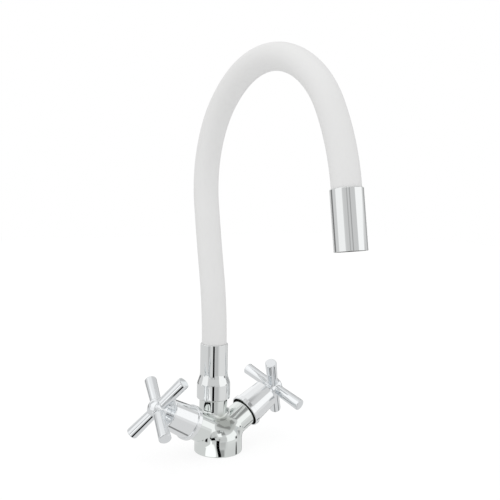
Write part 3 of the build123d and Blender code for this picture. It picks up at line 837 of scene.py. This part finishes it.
def make_handle(name):
    """Cross, skirt and cap of the hot or the cold handle."""
    side = SIDES[name]
    body = name + "_handle"
    place = valve_place(side)
    shape = cross_distance(side, ROD_ANGLES[name])
    cross = skin(name + "_cross", name + "_handle_cross", shape, CROSS_VOXEL)
    finish_piece(cross, "chrome", "handle_chrome")
    skirt = lathe(name + "_skirt", place, skirt_corners())
    # the skirt's inside takes near-black painted shade
    finish_piece(skirt, "chrome", "skirt_chrome", "painted_shade_metal")
    cap = lathe(name + "_cap", place, cap_corners(), CAP_SEGMENTS)
    finish_piece(cap, "chrome", "handle_chrome")
    for piece, node in ((cross, "handle_cross"), (skirt, "handle_skirt"), (cap, "handle_cap")):
        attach(piece, body)
        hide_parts(f"{name}_{node}")


# Spout

def make_ferrule():
    """The ring, the flare and the collar at the spout's foot."""
    place = Matrix.Translation((0, TOWER_Y, 0))
    corners = (
        (FERRULE_BORE_R, FERRULE_FOOT, FERRULE_FOOT_EDGE),
        (RING_R, FERRULE_FOOT, FERRULE_EDGE),
        (RING_R, RING_TOP, RING_EDGE),
        (COLLAR_R, FLARE_TOP, TAPER_EDGE),
        (COLLAR_R, RIM_Z, FERRULE_EDGE),
        (SOCKET_R, RIM_Z, INNER_EDGE),
        (SOCKET_R, SOCKET_FOOT, INNER_EDGE),
        (FLANGE_R, SOCKET_FOOT, INNER_EDGE),
        (FLANGE_R, FLANGE_FOOT, INNER_EDGE),
        (FERRULE_BORE_R, FLANGE_FOOT, INNER_EDGE),
    )
    piece = lathe("ferrule", place, corners)
    # the ferrule's bore takes near-black painted shade
    finish_piece(piece, "chrome", bore="painted_shade_metal")
    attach(piece, "spout_foot")
    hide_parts("spout_ferrule")


def make_nozzle():
    """The plain cylinder at the spout's end."""
    corners = (
        (SOCKET_R, HEAD_SOCKET, INNER_EDGE),
        (SOCKET_R, 0, INNER_EDGE),
        (HEAD_R, 0, HEAD_EDGE),
        (HEAD_R, HEAD_L, HEAD_LIP),
        (HEAD_THREAD_R, HEAD_L, HEAD_LIP),
        (HEAD_THREAD_R, HEAD_STEP, INNER_EDGE),
        (HEAD_CHAMBER_R, HEAD_STEP, INNER_EDGE),
        (HEAD_CHAMBER_R, HEAD_WEB_END, INNER_EDGE),
        (HEAD_WEB_R, HEAD_WEB_END, INNER_EDGE),
        (HEAD_WEB_R, HEAD_SOCKET, INNER_EDGE),
    )
    # the nozzle's bore and the ring at its mouth take near-black painted shade
    piece = lathe("nozzle", head_place(), corners, painted_shade_end=True)
    finish_piece(piece, "chrome", bore="painted_shade_metal")
    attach(piece, "spout_head")
    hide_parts("nozzle_shell")


def hose_piece(name, start, end, outer, inner, wave, segments, step):
    """Closed tube along a stretch of the hose. wave is the height of the coil's waves on its outside."""
    count = max(2, math.ceil((end - start) / step))
    stretch = np.linspace(start, end, count + 1)
    turns = np.linspace(0.0, 2 * math.pi, segments, endpoint=False)
    points = []
    normals = []
    for wall, swing, way, order in ((outer, wave, 1, stretch), (inner, 0.0, -1, stretch[::-1])):
        for distance in order:
            centre, heading = hose_spot(distance)
            across = np.cross(heading_vector(heading), SIDEWAYS)
            out = np.outer(np.cos(turns), SIDEWAYS) + np.outer(np.sin(turns), across)
            radius = wall + swing * math.cos(2 * math.pi * distance / COIL_PITCH)
            points.append(centre + out * radius)
            normals.append(out * way)
    faces = closed_rings(len(points), segments)
    return mesh_piece(name, np.concatenate(points), faces, np.concatenate(normals))


def make_hose_layer(name, node, slot, foot, outer, inner, wave, segments, step):
    """One layer of the hose as pieces that each reach across one joint, from mid link to mid link."""
    joints = len(LINK_TURNS) - 1
    for joint in range(1, joints + 1):
        middle = LINK_L * joint
        start = -foot if joint == 1 else middle - LINK_L / 2
        end = HOSE_L + HEAD_SOCKET if joint == joints else middle + LINK_L / 2
        piece = hose_piece(f"{name}_{joint}", start, end, outer, inner, wave, segments, step)
        finish_piece(piece, slot)
        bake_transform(piece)
        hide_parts(f"{node}_{joint}")
        if joint == joints:
            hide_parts(f"{node}_{joint + 1}")


def make_hose():
    """The sleeve, the coil inside it and the water hose inside the coil."""
    make_hose_layer(
        "silicone_sleeve", "sleeve", "white_silicone", SLEEVE_FOOT,
        SLEEVE_R, SLEEVE_BORE_R, 0.0, SLEEVE_SEGMENTS, SLEEVE_STEP,
    )
    make_hose_layer(
        "steel_coil", "coil", "steel", LINER_FOOT,
        COIL_R, COIL_BORE_R, COIL_WAVE, LINER_SEGMENTS, COIL_PITCH / COIL_STEPS,
    )
    make_hose_layer(
        "water_hose", "inner_hose", "hose_rubber", LINER_FOOT,
        WATER_HOSE_R, WATER_HOSE_BORE_R, 0.0, LINER_SEGMENTS, WATER_HOSE_STEP,
    )


# Studio

CAMERA_AT = (-400.6, -552.9, 246.3)
CAMERA_FORWARD = (0.6169, 0.7834, -0.0754)
CAMERA_UP = (0.0312, 0.0714, 0.997)
CAMERA_LENS = 51.9
SENSOR = 36.0
BACKGROUND = 1.0        # level that the camera sees behind the object
SOFT_LIGHT = 0.89       # level of the light from all round
FLOOR_SIZE = 6000.0
FLOOR_Z = -0.2          # just below the base
FLOOR_TONE = 0.9
FLOOR_GLOW = 1.08       # level of the white that the camera sees on the floor
FLOOR_GLOW_SHARE = 0.75     # the rest is what falls on the floor, with the shadow
LAMP_AT = (-500.0, -300.0, 1300.0)
LAMP_AIM = (0.0, 0.0, 200.0)
LAMP_SIZE = 1000.0
LAMP_POWER = 2.2


def make_camera():
    """The photograph's view."""
    forward = Vector(CAMERA_FORWARD).normalized()
    right = forward.cross(Vector(CAMERA_UP)).normalized()
    up = right.cross(forward)
    data = bpy.data.cameras.new("camera")
    data.lens = CAMERA_LENS
    data.sensor_width = SENSOR
    camera = bpy.data.objects.new("camera", data)
    turn = Matrix((right, up, -forward)).transposed().to_4x4()
    camera.matrix_world = Matrix.Translation(Vector(CAMERA_AT) * MM) @ turn
    bpy.context.scene.collection.objects.link(camera)
    bpy.context.scene.camera = camera


# What polished metal sees round the object, in degrees of azimuth from the camera towards its right
# and of elevation. A panel is (azimuth from, to, soft edge), (elevation from, to, soft edge) and its
# level, and later ones lie on top.
FLOOR_LEVEL = 0.72
WALL_LEVEL = 0.68
CEILING_LEVEL = 0.85
HORIZON = (-12.0, 0.0)
CORNICE = (60.0, 80.0)
PANELS = {
    "left_softbox": ((-90, -41, 6), (-5, 74, 4), 1.0),
    "left_top_light": ((-104, -44, 10), (22, 74, 10), 1.1),
    "right_softbox": ((46, 93, 6), (-5, 31, 6), 1.06),
    "right_top_light": ((86, 111, 6), (7, 31, 4), 1.06),
    "back_light": ((-180, -100, 10), (50, 91, 10), 0.92),
    "top_light": ((-30, 24, 8), (28, 57, 6), 1.1),
    "ceiling_gap": ((23, 47, 8), (36, 74, 8), 0.33),
    "front_gap": ((-20, 47, 10), (58, 86, 5), 0.36),
    "high_back_gap": ((92, 137, 6), (45, 72, 6), 0.42),
    "side_post": ((97, 107, 2), (-23, 4, 3), 0.05),
    "back_foot": ((113, 121, 2), (-46, -36, 3), 0.0),
    "back_softbox": ((-174, -135, 6), (4, 50, 8), 1.0),
    "back_stand": ((163, 176, 2), (-30, 14, 2), 0.04),
    "left_post": ((-150, -121, 4), (-8, 1, 2), 0.22),
    "right_post": ((128, 150, 4), (-4, 10, 3), 0.4),
    "low_left_gap": ((-48, -28, 8), (-15, -5, 2), 0.54),
    "low_right_gap": ((12, 40, 8), (-17.5, -4, 3), 0.54),
    "low_right_light": ((50, 110, 10), (-17, -4, 4), 0.8),
    "camera": ((-31, 47, 6), (1, 20, 4), 0.64),
    "thin_post": ((-13, -6, 3), (4, 18, 3), 0.46),
    "tripod": ((6, 13, 3), (7, 18, 1), 0.4),
    "low_stand": ((6, 34, 8), (-21.5, -17.8, 0.6), 0.36),
    "dark_floor": ((-24, 24, 12), (-64, -43, 8), 0.0),
    "dark_foot": ((-181, 181, 1), (-91, -83, 3), 0.25),
}
ARCH_AT = (-33.0, -20.5)        # a bright arch on the floor in front
ARCH_HALF = (28.0, 5.4)
ARCH_SOFT = (0.85, 1.1)         # where its soft edge starts and ends, as squared shares of its half sizes
ARCH_LEVEL = 1.2
STRIP_AT = 12.0                 # azimuth of a dark stand's foot; the stand lies on top of all
STRIP_LEAN = (-20.3, -16.5, -10.0)      # elevation from, to and the shift above it
STRIP_WIDTH = 15.0
STRIP_SOFT = 1.0
STRIP_UP = (-24.0, 6.2, 0.8)    # elevation from, to, soft edge
STRIP_LEVEL = 0.0


def panel_mask(tree, value, low, high, soft):
    """1 between two limits, with soft edges."""
    inside = smooth_step(tree, value, low - soft / 2, low + soft / 2)
    beyond = smooth_step(tree, value, high - soft / 2, high + soft / 2)
    return math_node(tree, "SUBTRACT", inside, beyond)


def arch_mask(tree, azimuth, elevation):
    """1 inside the arch, with a soft edge."""
    spread_out = []
    for value, middle, half in zip((azimuth, elevation), ARCH_AT, ARCH_HALF):
        share = math_node(tree, "DIVIDE", math_node(tree, "SUBTRACT", value, middle), half)
        spread_out.append(math_node(tree, "MULTIPLY", share, share))
    beyond = smooth_step(tree, math_node(tree, "ADD", *spread_out), *ARCH_SOFT)
    return math_node(tree, "SUBTRACT", 1.0, beyond)


def strip_mask(tree, azimuth, elevation):
    """1 on the stand, which leans to one side near its foot."""
    low, high, shift = STRIP_LEAN
    lean = math_node(tree, "MULTIPLY", smooth_step(tree, elevation, low, high), shift)
    from_strip = math_node(tree, "SUBTRACT", math_node(tree, "SUBTRACT", azimuth, STRIP_AT), lean)
    aside = panel_mask(tree, from_strip, -STRIP_WIDTH / 2, STRIP_WIDTH / 2, STRIP_SOFT)
    above = panel_mask(tree, elevation, *STRIP_UP)
    return math_node(tree, "MULTIPLY", aside, above)


def studio_panels(tree):
    """Level of the studio in a direction, as polished metal shows it."""
    place = tree.nodes.new("ShaderNodeTexCoord").outputs["Generated"]
    to_camera = -Vector(CAMERA_FORWARD)
    to_camera.z = 0
    to_camera.normalize()
    to_right = Vector((-to_camera.y, to_camera.x, 0))
    ahead = vector_node(tree, "DOT_PRODUCT", place, to_camera)
    aside = vector_node(tree, "DOT_PRODUCT", place, to_right)
    above = vector_node(tree, "DOT_PRODUCT", place, (0, 0, 1))
    azimuth = math_node(tree, "DEGREES", math_node(tree, "ARCTAN2", aside, ahead))
    elevation = math_node(tree, "DEGREES", math_node(tree, "ARCSINE", above))
    level = mix_color(tree, smooth_step(tree, elevation, *HORIZON), FLOOR_LEVEL, WALL_LEVEL)
    level = mix_color(tree, smooth_step(tree, elevation, *CORNICE), level, CEILING_LEVEL)
    for across, up, strength in PANELS.values():
        aside = panel_mask(tree, azimuth, *across)
        above = panel_mask(tree, elevation, *up)
        level = mix_color(tree, math_node(tree, "MULTIPLY", aside, above), level, strength)
    level = mix_color(tree, arch_mask(tree, azimuth, elevation), level, ARCH_LEVEL)
    return mix_color(tree, strip_mask(tree, azimuth, elevation), level, STRIP_LEVEL)


def make_world():
    """White background, soft light from all round, and a studio that only the metal shows."""
    world = bpy.data.worlds.new("studio")
    world.use_nodes = True
    bpy.context.scene.world = world
    tree = world.node_tree
    sky = tree.nodes["Background"]
    light = tree.nodes.new("ShaderNodeLightPath")
    soft = mix_color(tree, light.outputs["Is Glossy Ray"], SOFT_LIGHT, studio_panels(tree))
    seen = mix_color(tree, light.outputs["Is Camera Ray"], soft, BACKGROUND)
    tree.links.new(seen, sky.inputs["Color"])


def make_floor():
    """Pale floor, white to the camera apart from the object's shadow, and open from below."""
    half = FLOOR_SIZE / 2 * MM
    level = FLOOR_Z * MM
    corners = [(-half, -half, level), (half, -half, level), (half, half, level), (-half, half, level)]
    mesh = bpy.data.meshes.new("floor")
    mesh.from_pydata(corners, [], [(0, 1, 2, 3)])
    floor = bpy.data.objects.new("floor", mesh)
    bpy.context.scene.collection.objects.link(floor)
    material = bpy.data.materials.new("floor")
    material.use_nodes = True
    tree = material.node_tree
    tree.nodes.clear()
    output = tree.nodes.new("ShaderNodeOutputMaterial")
    matt = tree.nodes.new("ShaderNodeBsdfDiffuse")
    matt.inputs["Color"].default_value = (FLOOR_TONE, FLOOR_TONE, FLOOR_TONE, 1.0)
    white = tree.nodes.new("ShaderNodeEmission")
    white.inputs["Strength"].default_value = FLOOR_GLOW
    clear = tree.nodes.new("ShaderNodeBsdfTransparent")
    light = tree.nodes.new("ShaderNodeLightPath")
    shape = tree.nodes.new("ShaderNodeNewGeometry")
    lit = tree.nodes.new("ShaderNodeMixShader")
    open_below = tree.nodes.new("ShaderNodeMixShader")
    glow = math_node(tree, "MULTIPLY", light.outputs["Is Camera Ray"], FLOOR_GLOW_SHARE)
    tree.links.new(glow, lit.inputs["Fac"])
    tree.links.new(matt.outputs["BSDF"], lit.inputs[1])
    tree.links.new(white.outputs["Emission"], lit.inputs[2])
    tree.links.new(shape.outputs["Backfacing"], open_below.inputs["Fac"])
    tree.links.new(lit.outputs["Shader"], open_below.inputs[1])
    tree.links.new(clear.outputs["BSDF"], open_below.inputs[2])
    tree.links.new(open_below.outputs["Shader"], output.inputs["Surface"])
    mesh.materials.append(material)
    floor.visible_glossy = False


def make_lamp():
    """Large soft lamp from above, which the metal doesn't show."""
    spot = Vector(LAMP_AT) * MM
    data = bpy.data.lights.new("overhead", "AREA")
    data.size = LAMP_SIZE * MM
    data.energy = LAMP_POWER
    lamp = bpy.data.objects.new("overhead", data)
    lamp.location = spot
    lamp.rotation_mode = "QUATERNION"
    lamp.rotation_quaternion = (Vector(LAMP_AIM) * MM - spot).to_track_quat("-Z", "Y")
    lamp.visible_glossy = False
    bpy.context.scene.collection.objects.link(lamp)


dress_nodes()
make_body()
for handle in SIDES:
    make_handle(handle)
make_ferrule()
make_hose()
make_nozzle()
make_camera()
make_world()
make_floor()
make_lamp()
bpy.context.scene.view_settings.view_transform = "Standard"
